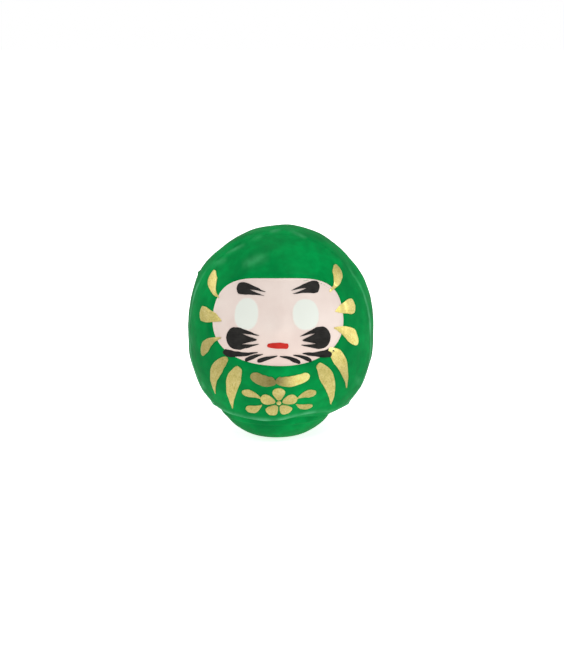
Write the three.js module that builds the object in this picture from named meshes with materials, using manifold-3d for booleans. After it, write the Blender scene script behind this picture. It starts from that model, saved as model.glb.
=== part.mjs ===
// A daruma doll: a hollow papier-mache body in two halves, glued to a round clay weight and painted.
// Millimetres, +Z up. The doll faces -Y, and the origin is the centre of the flat foot.
import * as THREE from "three";
import { mergeVertices } from "three/addons/utils/BufferGeometryUtils.js";
import Module from "manifold-3d";

const wasm = await Module();
wasm.setup();

// ---- Driving dimensions ----

// Body
const halfWidth = 48.5; // from the body's axis to its side
const depthFront = 45; // from the axis to the front
const depthBack = 47; // from the axis to the back
const rise = 55.3; // from the widest level up to the crown
const drop = 56.6; // half height of the ellipse that the lower body follows
const fullness = 0.02; // how much the shoulders of the upper body swell past an ellipse
const hemAngle = 42.1; // degrees below the widest level where the body turns in
const hemRound = 3; // radius of the turned-in hem
const wall = 2; // thickness of the papier-mache
const bodyShift = 2; // the body is glued this far off the middle of its weight

// Clay weight
const baseHeight = 15.5; // from the foot up to the hem
const bowlRadius = 24; // radius of the arc that rolls from the foot up to the hem
const hemOverhang = 3.2; // how far the hem's flat underside reaches past the weight
const seatWidth = 5; // ring on top of the weight that the body is glued to
const spigotHeight = 6; // the part of the weight that stands inside the body

// Face: places and reaches in degrees of azimuth and latitude
const faceCentre = [-0.5, 17];
const faceReach = { side: 44.7, up: 21.3, down: 25 };
const faceSquareness = 2.7; // exponent of the outline: 2 is an ellipse
const faceDepth = 2; // how far the face is sunk under the hood
const nose = { centre: [0.5, 14], across: 8, up: 8.5, height: 2.2 };
const eyeBulge = 1.2;
const eyeSquareness = 2.3;

// Paper strips and paint
const stripPaper = 0.4; // thickness of a pasted strip
const seamStripWidth = 27;
const baseStripDrop = 4; // how far the lower strip reaches down the weight
const coat = 0.35; // thickness of each painted mark
const gap = 0.3; // clearance between neighbouring pieces

// Facets round the body, and rows of them on the crown, the skirt and the hem
const fine = { sides: 56, crown: 14, skirt: 7, hem: 3 };
const coarse = { sides: 28, crown: 7, skirt: 3, hem: 1 };
const roundSides = 48; // of the weight and what fits it
const bowlRows = 8;
const baseStripRows = 2;
const faceGrid = { rings: 8, spokes: 40 };
const eyeGrid = { rings: 3, spokes: 24 };
const blossomGrid = { rings: 2, spokes: 50 };
const strokeRows = 10;

// ---- Painted marks ----

// The painting grows with the body, so places are azimuths and latitudes, and widths are degrees of latitude.
// A brush mark follows a curve through its points. It is widest at belly, a share of its length. Its ends are
// exponents, 0.5 for a round end and 1 or more for a pointed one. A forked mark splits into prongs that stay
// spread by fan and are parted as far back as notch, a share of the length.
const brushPoint = 0.16; // half width of a brush mark at its pointed end
const wedge = { belly: 0.3, ends: [0.4, 1] };
const brow = { ...wedge, width: 6.8, prongs: 2, notch: 0.3, fan: 1.35 };
const whisker = { width: 11.8, belly: 0.34, prongs: 3, notch: 0.42, fan: 2.5 };
const hair = { width: 2.2, belly: 0.4 };

const eyes = [
  { name: "eye_left", centre: [-20, 18.3], across: 7.7, up: 8.3 },
  { name: "eye_right", centre: [17.6, 18.4], across: 8.7, up: 8.3 },
];
const moustaches = [
  { ...whisker, name: "moustache_left", points: [[-33, 5], [-22, 5.2], [-11.2, 5.2]] },
  { ...whisker, name: "moustache_right", points: [[33.2, 6], [23, 5.6], [13.6, 4.9]] },
];
const browsAndBeard = [
  { ...brow, name: "eyebrow_left", points: [[-30.5, 31.6], [-22, 31.8], [-9, 29.6]] },
  { ...brow, name: "eyebrow_right", points: [[30, 32.4], [22, 32.7], [9.5, 30.6]] },
  { ...wedge, name: "beard_left_1", points: [[-34.6, -2.4], [-25, -3.2], [-12.2, -1.4]], width: 3.1 },
  { ...hair, name: "beard_left_2", points: [[-20.2, -6.2], [-14.8, -3.8], [-8.8, -2.2]] },
  { ...hair, name: "beard_left_3", points: [[-12.5, -6.2], [-6.2, -4.2], [-0.2, -2.8]] },
  { ...wedge, name: "beard_right_1", points: [[35, -1.6], [28, -3], [14.8, -1.8]], width: 3.7 },
  { ...hair, name: "beard_right_2", points: [[20.4, -6.2], [15.4, -3.8], [9.2, -2.5]] },
  { ...hair, name: "beard_right_3", points: [[13.5, -6.8], [7.5, -4.3], [1.2, -3]] },
];
const mouth = { width: 3.5, belly: 0.7, ends: [0.8, 0.35] };
const lips = { ...mouth, name: "lips", points: [[-6.4, 2.5], [0, 2.5], [6.4, 2.3]] };

// Gold rays round the face and down the robe, from the brow to the chest on each side, and two on the chest
const ray = { belly: 0.4 };
const stub = { belly: 0.3, width: 8.3 };
const crescent = { ends: [1, 1], width: 6.4 };
const goldRays = [
  { ...crescent, name: "gold_left_1", points: [[-58.5, 39], [-54, 31.8], [-43.4, 25]] },
  { ...stub, name: "gold_left_2", points: [[-57.5, 14.8], [-48, 14.6], [-38, 13.2]] },
  { ...ray, name: "gold_left_3", points: [[-52.5, -7], [-47.5, -0.4], [-37.2, 4.4]], width: 5.6 },
  { ...ray, name: "gold_left_4", points: [[-31.5, -5.6], [-43, -15.5], [-49, -28.8]], width: 7.7 },
  { ...ray, name: "gold_left_5", points: [[-23.5, -10], [-30.6, -20.5], [-37.6, -37.2]], width: 7.5 },
  { ...crescent, name: "gold_right_1", points: [[51.4, 43.6], [47.6, 36.6], [37.4, 29.4]] },
  { ...stub, name: "gold_right_2", points: [[56.8, 19.4], [48, 19.6], [38.8, 18.6]] },
  { ...ray, name: "gold_right_3", points: [[54.6, -1], [47.4, 5.8], [36.4, 10]], width: 7.7 },
  { ...ray, name: "gold_right_4", points: [[31.6, -1], [41.2, -9], [50.6, -24.6]], width: 7.7 },
  { ...ray, name: "gold_right_5", points: [[24.2, -7.8], [34, -19.4], [42.6, -36]], width: 7.9 },
  { name: "chest_left", points: [[-16.4, -13], [-8.8, -16.4], [-1.6, -15.8]], width: 6.2, ends: [0.5, 0.6] },
  { name: "chest_right", points: [[19.4, -13.4], [7, -16.4], [-0.8, -14.8]], width: 5.6, ends: [0.4, 0.6] },
];

// A plain blossom on the belly with two leaves on each side of it
const blossom = { name: "blossom", centre: [0.5, -30], across: 11.2, up: 8.5, petals: 5, notch: 0.4 };
const leaf = { width: 5.2, ends: [0.6, 1] };
const leafCurves = [
  [[25, -25.5], [18.5, -25], [12, -27.5]], // degrees to the side of the blossom, and latitude
  [[25.5, -35.5], [18.5, -34.8], [12, -31.5]],
];

// ---- Sizes that follow from the driving dimensions ----

const degree = Math.PI / 180;
const hemNormal = new THREE.Vector2(
  Math.cos(hemAngle * degree) / halfWidth,
  -Math.sin(hemAngle * degree) / drop,
).normalize();
// Centre of the hem's round, as a radius and a height over the waist
const hemCentre = new THREE.Vector2(
  halfWidth * Math.cos(hemAngle * degree),
  -drop * Math.sin(hemAngle * degree),
).addScaledVector(hemNormal, -hemRound);
const waist = baseHeight + gap + hemRound - hemCentre.y; // height of the widest level
const baseTopRadius = hemCentre.x - hemOverhang;
const bowlAngle = Math.acos(1 - baseHeight / bowlRadius);
const footRadius = baseTopRadius - bowlRadius * Math.sin(bowlAngle);
const openingRadius = baseTopRadius - seatWidth;
const beyond = 2 * (halfWidth + rise); // longer than anything on the doll

// ---- Materials ----

function paint(colour, roughness, metalness = 0) {
  return new THREE.MeshStandardMaterial({ color: colour, roughness, metalness });
}
const greenPaint = paint("#038339", 0.5);
const facePaint = paint("#e9dbd2", 0.7);
const eyePaint = paint("#e9ece5", 0.65);
const blackPaint = paint("#2c2b28", 0.6);
const redPaint = paint("#c53128", 0.6);
const goldPaint = paint("#c9b866", 0.38, 0.8);

// ---- Solids ----

// A closed geometry as a solid for joining and cutting. Faces that shrank to a line at a pole are dropped.
function solidOf(geometry) {
  const bare = geometry.clone();
  bare.deleteAttribute("normal");
  bare.deleteAttribute("uv");
  const merged = mergeVertices(bare, 1e-4);
  const corners = merged.index.array;
  const triVerts = [];
  for (let i = 0; i < corners.length; i += 3) {
    const [a, b, c] = corners.slice(i, i + 3);
    if (a !== b && b !== c && c !== a) triVerts.push(a, b, c);
  }
  return new wasm.Manifold(
    new wasm.Mesh({
      numProp: 3,
      vertProperties: merged.attributes.position.array,
      triVerts: new Uint32Array(triVerts),
    }),
  );
}

function geometryOf(solid) {
  const { vertProperties, triVerts } = solid.getMesh();
  const geometry = new THREE.BufferGeometry();
  geometry.setAttribute("position", new THREE.BufferAttribute(vertProperties, 3));
  geometry.setIndex(new THREE.BufferAttribute(triVerts, 1));
  geometry.computeVertexNormals();
  return geometry;
}

// Moves each vertex of a geometry to place(vertex).
function shaped(geometry, place) {
  const spots = geometry.getAttribute("position");
  const vertex = new THREE.Vector3();
  for (let i = 0; i < spots.count; i++) {
    const moved = place(vertex.fromBufferAttribute(spots, i));
    spots.setXYZ(i, moved.x, moved.y, moved.z);
  }
  geometry.computeVertexNormals();
  return geometry;
}

// A block as large as needed to cut the doll: everything within a width, in front of or behind y, above z.
function block(depth, y, z) {
  return solidOf(new THREE.BoxGeometry(beyond, depth, beyond).translate(0, y, z + beyond / 2));
}

function turned(profile, sides) {
  return new THREE.LatheGeometry(profile, sides).rotateX(Math.PI / 2);
}

// ---- Surface of the body ----

// Half depth of the body on the side that y is on.
function depthAt(y) {
  return y < 0 ? depthFront : depthBack;
}

// Radius and height over the waist at a latitude: an ellipse, swollen a little at the shoulders.
function outline(latitude) {
  const angle = latitude * degree;
  const upper = latitude > 0;
  const swell = upper ? 1 + fullness * Math.sin(2 * angle) ** 2 : 1;
  const halfHeight = upper ? rise : drop;
  return new THREE.Vector2(halfWidth * Math.cos(angle), halfHeight * Math.sin(angle)).multiplyScalar(swell);
}

// The point of the body at an azimuth (0 is the front, positive towards +X) and a latitude, raised by lift
// along the normal of the ellipse.
function bodyPoint(azimuth, latitude, lift) {
  const { x: radius, y: height } = outline(latitude);
  const sideways = Math.sin(azimuth * degree);
  const ahead = -Math.cos(azimuth * degree);
  const depth = depthAt(ahead);
  const point = new THREE.Vector3(radius * sideways, (radius * ahead * depth) / halfWidth, height);
  const normal = new THREE.Vector3(
    point.x / halfWidth ** 2,
    point.y / depth ** 2,
    height / (height > 0 ? rise : drop) ** 2,
  ).normalize();
  point.addScaledVector(normal, lift);
  point.z += waist;
  return point;
}

// The body as a solid grown by lift all over, from the flat underside round the hem up to the crown.
function bodySolid(lift, { sides, crown, skirt, hem }) {
  const reach = hemRound + lift;
  const hemStart = Math.atan2(hemNormal.y, hemNormal.x);
  const profile = [new THREE.Vector2(0, hemCentre.y - reach)];
  for (let i = 0; i <= hem; i++) {
    const angle = THREE.MathUtils.lerp(-Math.PI / 2, hemStart, i / hem);
    const around = new THREE.Vector2(Math.cos(angle), Math.sin(angle));
    profile.push(hemCentre.clone().addScaledVector(around, reach));
  }
  for (let i = 1; i <= skirt + crown; i++) {
    const latitude = i <= skirt ? hemAngle * (i / skirt - 1) : (90 * (i - skirt)) / crown;
    const spot = outline(latitude);
    const normal = new THREE.Vector2(spot.x / halfWidth ** 2, spot.y / (spot.y > 0 ? rise : drop) ** 2);
    profile.push(spot.addScaledVector(normal.normalize(), lift));
  }
  profile[profile.length - 1].x = 0;
  const round = turned(profile, sides).translate(0, 0, waist);
  return solidOf(shaped(round, (v) => v.setY((v.y * depthAt(v.y)) / halfWidth)));
}

// ---- Relief of the face ----

// Millimetres per degree of azimuth and of latitude, at a latitude.
function scaleAt(latitude) {
  return [halfWidth * Math.cos(latitude * degree) * degree, rise * degree];
}

function bump(azimuth, latitude, { centre, across, up }, height) {
  const x = (azimuth - centre[0]) / across;
  const y = (latitude - centre[1]) / up;
  return height * Math.exp(-(x * x) - y * y);
}

// Height of the face over the body's surface: sunk under the hood, with a nose and two eyes that stand up.
function faceFloor(azimuth, latitude) {
  let height = bump(azimuth, latitude, nose, nose.height) - faceDepth;
  for (const eye of eyes) height += bump(azimuth, latitude, eye, eyeBulge);
  return height;
}

function hoodFloor() {
  return 0;
}

// ---- Marks as thin sheets on the body ----

// Heights of a coat's underside and top over a floor: layer 0 lies on the paper, layer 1 on the face's coat.
function coatHeights(layer) {
  const under = gap + layer * (coat + gap);
  return [under, under + coat];
}

// A round mark: place(angle, share) turns a spot of the unit disc into an azimuth and a latitude.
function disc(place, heights, floor, { rings, spokes }) {
  const profile = [];
  for (let i = 0; i <= rings; i++) profile.push(new THREE.Vector2(i / rings, 0));
  for (let i = rings; i >= 0; i--) profile.push(new THREE.Vector2(i / rings, 1));
  return shaped(new THREE.LatheGeometry(profile, spokes), ({ x, y, z }) => {
    const [azimuth, latitude] = place(Math.atan2(-z, x), Math.hypot(x, z));
    return bodyPoint(azimuth, latitude, floor(azimuth, latitude) + heights[Math.round(y)]);
  });
}

// Cosine or sine for a superellipse, whose outline has squarer shoulders than an ellipse.
function squared(value, exponent) {
  return Math.sign(value) * Math.abs(value) ** (2 / exponent);
}

// The face's outline, grown by a distance.
function facePlace(grow) {
  const [perAzimuth, perLatitude] = scaleAt(faceCentre[1]);
  return (angle, share) => {
    const tall = Math.sin(angle) > 0 ? faceReach.up : faceReach.down;
    const across = faceReach.side + grow / perAzimuth;
    return [
      faceCentre[0] + share * across * squared(Math.cos(angle), faceSquareness),
      faceCentre[1] + share * (tall + grow / perLatitude) * squared(Math.sin(angle), faceSquareness),
    ];
  };
}

function eyePlace({ centre, across, up }) {
  return (angle, share) => [
    centre[0] + share * across * squared(Math.cos(angle), eyeSquareness),
    centre[1] + share * up * squared(Math.sin(angle), eyeSquareness),
  ];
}

// The blossom's radius swells once for each petal and drops by notch between them.
function blossomPlace({ centre, across, up, petals, notch }) {
  return (angle, share) => {
    const between = Math.sin(((angle - Math.PI / 2) * petals) / 2) ** 4;
    const reach = share * (1 - notch * between);
    return [centre[0] + reach * across * Math.cos(angle), centre[1] + reach * up * Math.sin(angle)];
  };
}

// Half width of a brush mark at a share of its length, in degrees of latitude.
function halfWidthAt(along, { width, belly = 0.5, ends = [0.5, 1], fan = brushPoint }) {
  const rising = along < belly;
  const least = rising ? brushPoint : fan;
  const off = Math.min(1, Math.abs(along - belly) / (rising ? belly : 1 - belly));
  return least + (width / 2 - least) * (1 - off * off) ** (rising ? ends[0] : ends[1]);
}

// A brush mark, grown sideways by a distance.
function stroke(mark, heights, floor, grow = 0) {
  const { points, prongs = 1, notch = 0 } = mark;
  const path = new THREE.SplineCurve(points.map((point) => new THREE.Vector2(...point)));
  const lanes = Math.max(2, 4 * (prongs - 1));
  return shaped(new THREE.BoxGeometry(1, 1, 1, strokeRows, lanes, 1), ({ x, y, z }) => {
    const across = 2 * y;
    const fork = (((prongs - 1) * (across + 1)) / 2) % 1;
    const length = 1 - notch * (1 - Math.abs(1 - 2 * fork));
    const along = (length * (1 + Math.sin(Math.PI * x))) / 2; // rows crowd at both ends and round them
    const spot = path.getPoint(along);
    const way = path.getTangent(along);
    const [perAzimuth, perLatitude] = scaleAt(spot.y);
    const sideways = new THREE.Vector2(-way.y * perLatitude, way.x * perAzimuth).normalize();
    const offset = across * (halfWidthAt(along, mark) * perLatitude + grow);
    const azimuth = spot.x + (sideways.x * offset) / perAzimuth;
    const latitude = spot.y + (sideways.y * offset) / perLatitude;
    return bodyPoint(azimuth, latitude, floor(azimuth, latitude) + heights[z > 0 ? 1 : 0]);
  });
}

// ---- The doll ----

const doll = new THREE.Group();
const body = new THREE.Group();
body.position.x = bodyShift;
doll.add(body);

function add(group, name, geometry, material) {
  const mesh = new THREE.Mesh(geometry, material);
  mesh.name = name;
  group.add(mesh);
}

// A solid over the face's outline, from a height over the face's floor to a level clear of the body.
function faceBlock(grow, under) {
  const clear = 2 * (faceDepth + nose.height);
  return solidOf(disc(facePlace(grow), [under, clear], faceFloor, faceGrid));
}

// The hollow shell, open at the bottom. Its wall follows the sunken face on the inside too.
function shell() {
  const cavity = bodySolid(-wall, coarse).subtract(faceBlock(wall, -wall));
  const through = 4 * (wall + hemRound);
  const opening = new THREE.CylinderGeometry(openingRadius, openingRadius, through, roundSides);
  opening.rotateX(Math.PI / 2).translate(-bodyShift, 0, baseHeight);
  return bodySolid(0, fine).subtract(cavity).subtract(faceBlock(0, 0)).subtract(solidOf(opening));
}

function addShells() {
  const whole = shell();
  const away = (beyond + gap) / 2;
  add(body, "front_shell", geometryOf(whole.intersect(block(beyond, -away, 0))), greenPaint);
  add(body, "back_shell", geometryOf(whole.intersect(block(beyond, away, 0))), greenPaint);
}

// The strip of paper pasted over the join of the halves, from hem to hem over the crown.
function addSeamStrip() {
  const sheet = bodySolid(gap + stripPaper, fine).subtract(bodySolid(gap, fine));
  const aboveHem = baseHeight + gap + hemRound;
  add(body, "seam_strip", geometryOf(sheet.intersect(block(seamStripWidth, 0, aboveHem))), greenPaint);
}

// A point of the weight's bowl, at an angle from the foot, raised by lift.
function bowlPoint(angle, lift) {
  const reach = bowlRadius + lift;
  return new THREE.Vector2(footRadius + reach * Math.sin(angle), bowlRadius - reach * Math.cos(angle));
}

function addWeight() {
  const spigotRadius = openingRadius - gap;
  const profile = [new THREE.Vector2(0, 0)];
  for (let i = 0; i <= bowlRows; i++) profile.push(bowlPoint((bowlAngle * i) / bowlRows, 0));
  profile.push(new THREE.Vector2(spigotRadius, baseHeight));
  profile.push(new THREE.Vector2(spigotRadius, baseHeight + spigotHeight));
  profile.push(new THREE.Vector2(0, baseHeight + spigotHeight));
  add(doll, "base_weight", turned(profile, roundSides), greenPaint);
}

// The strip of paper pasted round the top of the weight, under the hem.
function addBaseStrip() {
  const lowest = Math.acos(1 - (baseHeight - baseStripDrop) / bowlRadius);
  const profile = [];
  for (const [lift, from, to] of [[gap + stripPaper, lowest, bowlAngle], [gap, bowlAngle, lowest]]) {
    for (let i = 0; i <= baseStripRows; i++) {
      profile.push(bowlPoint(THREE.MathUtils.lerp(from, to, i / baseStripRows), lift));
    }
  }
  profile.push(profile[0].clone());
  add(doll, "base_strip", turned(profile, roundSides), greenPaint);
}

function addFace() {
  add(body, "face_paint", disc(facePlace(-gap), coatHeights(0), faceFloor, faceGrid), facePaint);
  add(body, lips.name, stroke(lips, coatHeights(1), faceFloor), redPaint);
  const inside = faceBlock(-2 * gap, 0);
  for (const mark of [...browsAndBeard, ...moustaches]) {
    const drawn = solidOf(stroke(mark, coatHeights(1), faceFloor));
    add(body, mark.name, geometryOf(drawn.intersect(inside)), blackPaint);
  }
}

// Each eye is left open where the moustache laps over it.
function addEyes() {
  eyes.forEach((eye, side) => {
    const blank = solidOf(disc(eyePlace(eye), coatHeights(1), faceFloor, eyeGrid));
    const room = stroke(moustaches[side], [0, 2 * faceDepth], faceFloor, 1.5 * gap);
    add(body, eye.name, geometryOf(blank.subtract(solidOf(room))), eyePaint);
  });
}

// Gold rays stop at the rim of the face.
function addGold() {
  const face = faceBlock(gap, -wall);
  for (const mark of goldRays) {
    const drawn = solidOf(stroke(mark, coatHeights(0), hoodFloor));
    add(body, mark.name, geometryOf(drawn.subtract(face)), goldPaint);
  }
}

function addEmblem() {
  add(body, blossom.name, disc(blossomPlace(blossom), coatHeights(0), hoodFloor, blossomGrid), goldPaint);
  for (const [side, direction] of [["left", -1], ["right", 1]]) {
    leafCurves.forEach((curve, i) => {
      const points = curve.map(([aside, latitude]) => [blossom.centre[0] + direction * aside, latitude]);
      const drawn = stroke({ ...leaf, points }, coatHeights(0), hoodFloor);
      add(body, `leaf_${side}_${i + 1}`, drawn, goldPaint);
    });
  }
}

addShells();
addSeamStrip();
addWeight();
addBaseStrip();
addFace();
addEyes();
addGold();
addEmblem();

export default doll;
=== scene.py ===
# %% [markdown]
# # A daruma doll
#
# The doll is a hollow papier-mache body, glued to a clay weight and painted by hand. The CAD model gives
# its frame: where the foot is, how wide and tall the body is, where each painted mark sits. This lesson
# makes the surface that the eye sees: paper that was pasted by hand over a mould, satin green paint,
# a chalky face, and marks laid on with a loaded brush.

import bmesh
import bpy
import numpy as np
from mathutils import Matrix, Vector


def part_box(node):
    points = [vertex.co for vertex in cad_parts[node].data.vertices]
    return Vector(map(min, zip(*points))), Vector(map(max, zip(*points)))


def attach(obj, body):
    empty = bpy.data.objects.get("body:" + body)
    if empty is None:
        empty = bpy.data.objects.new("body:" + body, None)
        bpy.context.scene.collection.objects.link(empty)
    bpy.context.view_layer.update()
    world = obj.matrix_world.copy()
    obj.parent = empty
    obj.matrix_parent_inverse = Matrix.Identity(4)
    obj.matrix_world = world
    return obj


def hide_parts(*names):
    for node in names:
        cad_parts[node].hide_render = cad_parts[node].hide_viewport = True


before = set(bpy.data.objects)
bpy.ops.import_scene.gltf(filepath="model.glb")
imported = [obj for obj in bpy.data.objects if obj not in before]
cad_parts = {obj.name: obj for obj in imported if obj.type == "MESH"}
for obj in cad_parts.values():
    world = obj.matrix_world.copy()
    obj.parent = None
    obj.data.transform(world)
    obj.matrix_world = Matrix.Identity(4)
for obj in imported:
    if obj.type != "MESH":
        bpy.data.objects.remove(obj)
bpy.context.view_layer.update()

# %% [markdown]
# ## Colour management and camera
#
# The paint is a strong, clean green. Blender's default AgX view turns strong colours paler as they get
# lighter, so the Standard view is used: a colour that is mixed for the paint is the colour that is seen.
#
# A doll this small is best shown from a little above with a long lens, which keeps its round body from
# looking like a fisheye ball. 85 mm on a 36 mm frame at a bit over 0.8 m is a usual choice.

# %% Camera
MM = 0.001
scene = bpy.context.scene
scene.view_settings.view_transform = "Standard"

shell_low, shell_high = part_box("front_shell")
axis_x = (shell_low.x + shell_high.x) / 2
crown_z = shell_high.z
CAMERA_TURN = np.radians(1.6)  # round the doll from straight in front
CAMERA_RISE = np.radians(13)  # above level
CAMERA_DISTANCE = 0.815  # m from the point that it looks at
AIM_RIGHT = 0.84 * MM  # the doll stands a hair to the left of the middle of the view

aim = Vector((axis_x + AIM_RIGHT, 0, crown_z / 2))
back = Vector(
    (
        np.sin(CAMERA_TURN) * np.cos(CAMERA_RISE),
        -np.cos(CAMERA_TURN) * np.cos(CAMERA_RISE),
        np.sin(CAMERA_RISE),
    )
)
lens = bpy.data.cameras.new("portrait_lens")
lens.lens = 85
lens.sensor_width = 36
lens.clip_start = 0.05
camera = bpy.data.objects.new("camera", lens)
camera.location = aim + CAMERA_DISTANCE * back
camera.rotation_mode = "QUATERNION"
camera.rotation_quaternion = (-back).to_track_quat("-Z", "Y")
scene.collection.objects.link(camera)
scene.camera = camera
print("camera at", [round(value, 3) for value in camera.location])

# %% [markdown]
# ## The mould's shape
#
# Without its creases the body is a squashed ball: one half ellipse above its widest level and a longer one
# below, cut off where the hem turns in under the doll. It is easiest to write as a profile, a radius and a
# height for each latitude, carried round the axis. Past the hem's latitude the same number keeps running:
# first round the hem's small arc, then in along the flat underside, a millimetre for each degree. One
# number then says where any row of the shell is. Sizes are in millimetres until a mesh is made.

# %% Profile of the body
HALF_WIDTH = (shell_high.x - shell_low.x) / 2 / MM
DEPTH_FRONT = 45.0  # from the axis to the front, before the face is pressed in
DEPTH_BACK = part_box("back_shell")[1].y / MM
RISE = 55.3  # widest level to crown
DROP = 56.6  # half height of the lower ellipse
FULLNESS = 0.02  # swell of the shoulders past the ellipse
HEM_ANGLE = 42.1  # degrees under the widest level, where the hem starts to turn in
HEM_ROUND = 3.0  # radius of the hem's arc
WAIST = crown_z / MM - RISE
AXIS = axis_x / MM


def unit(vectors):
    """Each vector divided by its length."""
    return vectors / np.linalg.norm(vectors, axis=-1, keepdims=True)


def hem_arc():
    """Centre of the hem's arc, and the angle where it starts: the ellipse's normal at the hem."""
    angle = np.radians(HEM_ANGLE)
    edge = np.array([HALF_WIDTH * np.cos(angle), -DROP * np.sin(angle)])
    normal = unit(np.array([np.cos(angle) / HALF_WIDTH, -np.sin(angle) / DROP]))
    return edge - HEM_ROUND * normal, np.degrees(np.arctan2(normal[1], normal[0]))


HEM_CENTRE, HEM_START = hem_arc()
HEM_SPAN = 90 + HEM_START  # degrees of arc, from the skirt to the flat underside


def profile(latitude):
    """Radius, height over the waist and the normal's two parts, at a latitude in degrees.

    Above the hem the radius is the half width times the cosine and the height is the rise or the drop times
    the sine, both times 1 + fullness sin squared of twice the angle above the waist. Below it comes an arc
    of the hem's radius, and then a straight line in towards the axis.
    """
    angle = np.radians(np.maximum(latitude, -HEM_ANGLE))
    tall = np.where(latitude > 0, RISE, DROP)
    swell = 1 + FULLNESS * np.sin(2 * angle) ** 2 * (latitude > 0)
    radius = HALF_WIDTH * np.cos(angle) * swell
    height = tall * np.sin(angle) * swell
    normal = unit(np.stack([np.cos(angle) / HALF_WIDTH, np.sin(angle) / tall], -1))
    past = np.maximum(-HEM_ANGLE - latitude, 0)
    turn = np.radians(HEM_START - np.minimum(past, HEM_SPAN))
    on_hem = past > 0
    radius = np.where(on_hem, HEM_CENTRE[0] + HEM_ROUND * np.cos(turn), radius)
    radius = radius - np.maximum(past - HEM_SPAN, 0)
    height = np.where(on_hem, HEM_CENTRE[1] + HEM_ROUND * np.sin(turn), height)
    across = np.where(on_hem, np.cos(turn), normal[..., 0])
    upward = np.where(on_hem, np.sin(turn), normal[..., 1])
    return radius, height, across, upward


def mould(azimuth, latitude):
    """Points and normals of the smooth body.

    The profile is carried round the axis: x is the radius times the sine of the azimuth, and y is minus the
    radius times its cosine, times the depth over the half width. Azimuth 0 is the front.
    """
    azimuth, latitude = np.broadcast_arrays(azimuth, latitude)
    radius, height, across, upward = profile(latitude)
    turn = np.radians(azimuth)
    squash = np.where(np.cos(turn) > 0, DEPTH_FRONT, DEPTH_BACK) / HALF_WIDTH
    points = np.stack([AXIS + radius * np.sin(turn), -radius * np.cos(turn) * squash, WAIST + height], -1)
    normals = np.stack([across * np.sin(turn), -across * np.cos(turn) / squash, upward], -1)
    return points, unit(normals)


print("waist at", round(WAIST, 1), "mm, hem at", round(WAIST + HEM_CENTRE[1] - HEM_ROUND, 1), "mm")

# %% [markdown]
# ## The face
#
# The face is pressed into the mould: a rounded rectangle, sunk a little under the rim of the hood. Inside
# it a low nose runs down the middle, the two eyes swell, and the cheeks stay full. All of it is height over
# the smooth body, as a function of azimuth and latitude, so the same function lifts the paper, the paint
# on it and the brush marks on the paint.

# %% Relief of the face
FACE_CENTRE = (-0.5, 17.0)
FACE_SIDE, FACE_UP, FACE_DOWN = 44.7, 21.3, 25.0  # degrees from the centre to each edge
SQUARE_ABOVE, SQUARE_BELOW = 3.1, 2.35  # exponents of the outline: 2 is an ellipse
FACE_DEPTH = 1.3
RIM_WIDTH = 2.8  # the slope from the face's floor up to the hood; the outline runs down its middle
RIM_ROLL, ROLL_WIDTH = 0.3, 2.2  # the rim stands this much proud of the hood, over this half width
PER_DEGREE = np.radians(1)
# Middle as azimuth and latitude, then half widths across and up and the height, all in millimetres
FACE_HILLS = [
    ((0.5, 15), 5.5, 9, 1.5),  # the nose
    ((0.5, 10.5), 4.5, 4, 0.9),  # its tip
    ((-20, 18.3), 7.5, 9, 0.9),  # the eyes
    ((17.6, 18.4), 8, 9, 0.9),
    ((-26, 3), 9, 7, 0.7),  # the cheeks
    ((26, 3.5), 9, 7, 0.7),
    ((0, -3), 16, 4.5, 0.6),  # the chin
]


def scale_at(latitude):
    """Millimetres for a degree of azimuth and for a degree of latitude."""
    return HALF_WIDTH * np.cos(np.radians(latitude)) * PER_DEGREE, RISE * PER_DEGREE


def smooth_step(value):
    """0 below 0, 1 above 1, and three value squared less two value cubed between them."""
    value = np.clip(value, 0, 1)
    return value * value * (3 - 2 * value)


def bump(azimuth, latitude, centre, across, up, height):
    """A round hill: the height times e to minus the squared distance, counted in half widths."""
    per_azimuth, per_latitude = scale_at(centre[1])
    x = (azimuth - centre[0]) * per_azimuth / across
    y = (latitude - centre[1]) * per_latitude / up
    return height * np.exp(-(x * x) - y * y)


def outside_face(azimuth, latitude):
    """Millimetres past the face's outline, negative inside it: a superellipse's share of the way, less 1,
    times the distance from the centre to the edge."""
    tall = np.where(latitude > FACE_CENTRE[1], FACE_UP, FACE_DOWN)
    x = np.abs(azimuth - FACE_CENTRE[0]) / FACE_SIDE
    y = np.abs(latitude - FACE_CENTRE[1]) / tall
    exponent = np.where(latitude > FACE_CENTRE[1], SQUARE_ABOVE, SQUARE_BELOW)
    share = (x**exponent + y**exponent) ** (1 / exponent)
    per_azimuth, per_latitude = scale_at(FACE_CENTRE[1])
    x, y = x * FACE_SIDE * per_azimuth, y * tall * per_latitude
    return np.hypot(x, y) * (1 - 1 / np.maximum(share, 0.01))


def on_face(past):
    """1 on the face, 0 on the hood, and a smooth step between them over the rim's width."""
    return 1 - smooth_step(past / RIM_WIDTH + 0.5)


def face_relief(azimuth, latitude):
    """Height of the face and its rim over the smooth body: the rim's roll, and on the face the sum of its
    hills less its depth."""
    past = outside_face(azimuth, latitude)
    roll = RIM_ROLL * np.exp(-(((past - RIM_WIDTH) / ROLL_WIDTH) ** 2))
    hills = sum(bump(azimuth, latitude, *hill) for hill in FACE_HILLS)
    return roll + on_face(past) * (hills - FACE_DEPTH)


print("face", round(2 * FACE_SIDE * scale_at(FACE_CENTRE[1])[0], 1), "mm wide along the surface")

# %% [markdown]
# ## Hand-made paper
#
# Wet paper is pressed over the mould in torn pieces and dries a little uneven: long soft waves, smaller
# dents, and a few creases where a piece folded on itself. Waves come from adding up sine waves in seeded
# random directions, which is smooth in space, so it has no seam at the crown or down the back. What gives
# this doll its own outline is placed one by one: broad swells, as round hills and hollows, and creases, as
# ridges that follow a line from one spot to another.

# %% Unevenness of the paper
WAVES = 16  # sine waves in one sum


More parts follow.
